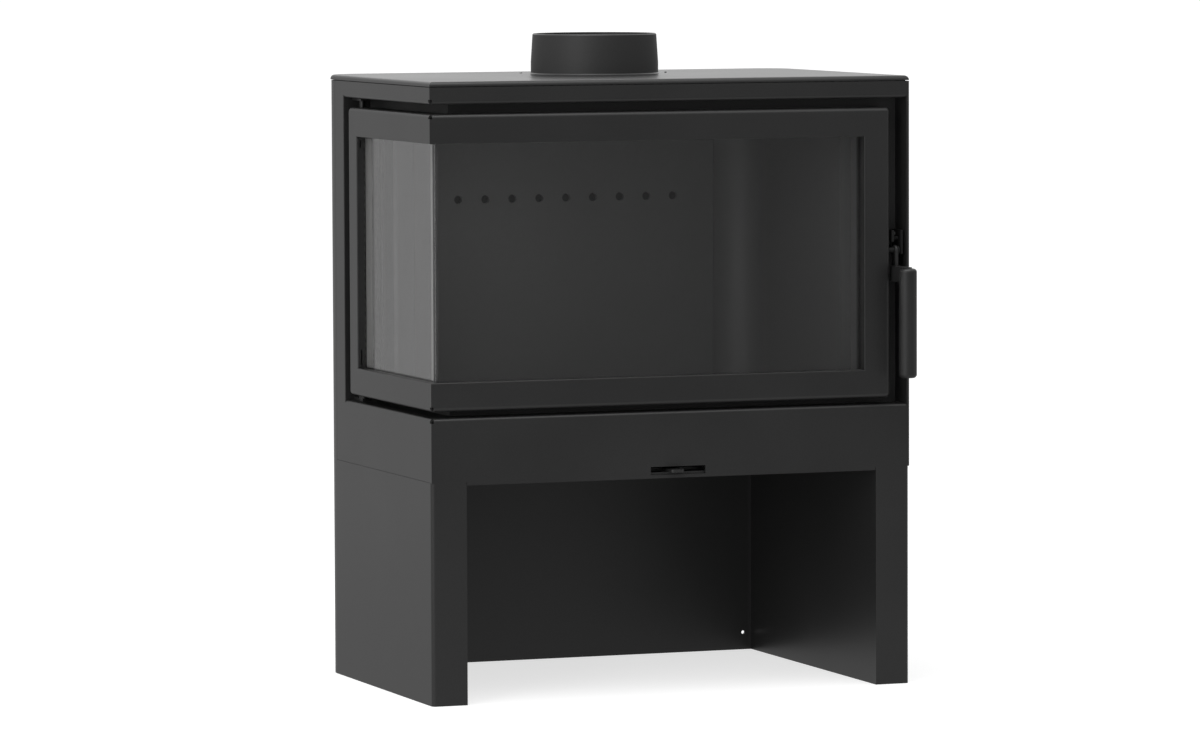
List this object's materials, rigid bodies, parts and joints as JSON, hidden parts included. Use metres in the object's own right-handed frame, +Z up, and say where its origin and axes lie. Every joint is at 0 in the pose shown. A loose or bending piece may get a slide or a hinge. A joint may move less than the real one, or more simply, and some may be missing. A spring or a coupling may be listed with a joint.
{
  "type": "freestanding wood stove",
  "caption": "Steel wood stove with an L-shaped corner glass door, standing on an open log-store base, with a round flue collar on top and an air lever under the door.",
  "frame": {"origin": "on the floor, midway between the stove's two sides and midway between the grip's front and the back of the casing", "axes": "+X to the right, +Y from the front to the back, +Z up"},
  "size_m": [0.7, 0.5163, 0.9],
  "materials": {
    "stove_paint": "matt black heat-proof stove paint on sheet steel",
    "firebox_steel": "black-coated firebox plate",
    "cast_iron": "as cast",
    "firebrick": "pressed vermiculite board, modelled with a plastic's density",
    "glass": "clear ceramic glass",
    "seal_rope": "woven glass-fibre seal",
    "handle_paint": "satin black powder coat",
    "bare_steel": "plain turned and pressed steel"
  },
  "bodies": {
    "stove": {"base_left_cover": "stove_paint", "base_right_cover": "stove_paint", "base_left_inner": "stove_paint", "base_right_inner": "stove_paint", "base_back_panel": "stove_paint", "base_top_plate": "stove_paint", "base_foot_plates": "stove_paint", "casing_floor": "stove_paint", "lower_front_panel": "stove_paint", "top_front_fascia": "stove_paint", "left_side_panel": "stove_paint", "right_side_panel": "stove_paint", "rear_casing": "stove_paint", "top_plate": "stove_paint", "flue_collar": "stove_paint", "hinge_brackets": "stove_paint", "striker_bracket": "stove_paint", "frame_front_top": "firebox_steel", "frame_front_bottom": "firebox_steel", "frame_right_jamb": "firebox_steel", "frame_side_top": "firebox_steel", "frame_side_bottom": "firebox_steel", "frame_rear_jamb": "firebox_steel", "firebox_floor": "firebox_steel", "firebox_back": "firebox_steel", "firebox_right": "firebox_steel", "firebox_roof": "firebox_steel", "back_lining": "firebox_steel", "right_lining": "firebox_steel", "left_lining": "firebox_steel", "ash_box": "firebox_steel", "ash_pan": "firebox_steel", "air_rails": "firebox_steel", "grate": "cast_iron", "hearth_bricks": "firebrick", "baffle_plate": "firebrick", "top_plate_gasket": "seal_rope", "top_plate_screws": "bare_steel", "flue_collar_bolts": "bare_steel", "hinge_pins": "bare_steel", "keeper_pin": "bare_steel"},
    "door": {"door_front_top_rail": "stove_paint", "door_front_bottom_rail": "stove_paint", "door_side_top_rail": "stove_paint", "door_side_bottom_rail": "stove_paint", "door_right_stile": "stove_paint", "door_rear_stile": "stove_paint", "door_back_front": "stove_paint", "door_back_side": "stove_paint", "front_glass": "glass", "side_glass": "glass", "glass_corner_seal": "seal_rope", "glass_seals": "seal_rope", "glass_clips": "bare_steel", "door_seal": "seal_rope", "latch_stud": "bare_steel"},
    "handle": {"handle_lever": "handle_paint", "handle_grip": "handle_paint"},
    "air_lever": {"air_slide": "stove_paint"}
  },
  "joints": [
    {"name": "door_swing", "type": "hinge", "parent": "stove", "child": "door", "pos_m": [-0.333, 0.12595, 0.5995], "axis": [0, 0, -1], "range_deg": [0, 100]},
    {"name": "handle_turn", "type": "hinge", "parent": "door", "child": "handle", "pos_m": [0.33325, -0.19787, 0.602], "axis": [-1, 0, 0], "range_deg": [0, 60]},
    {"name": "air_control", "type": "slide", "parent": "stove", "child": "air_lever", "axis": [1, 0, 0], "range_m": [-0.024, 0.033]}
  ]
}
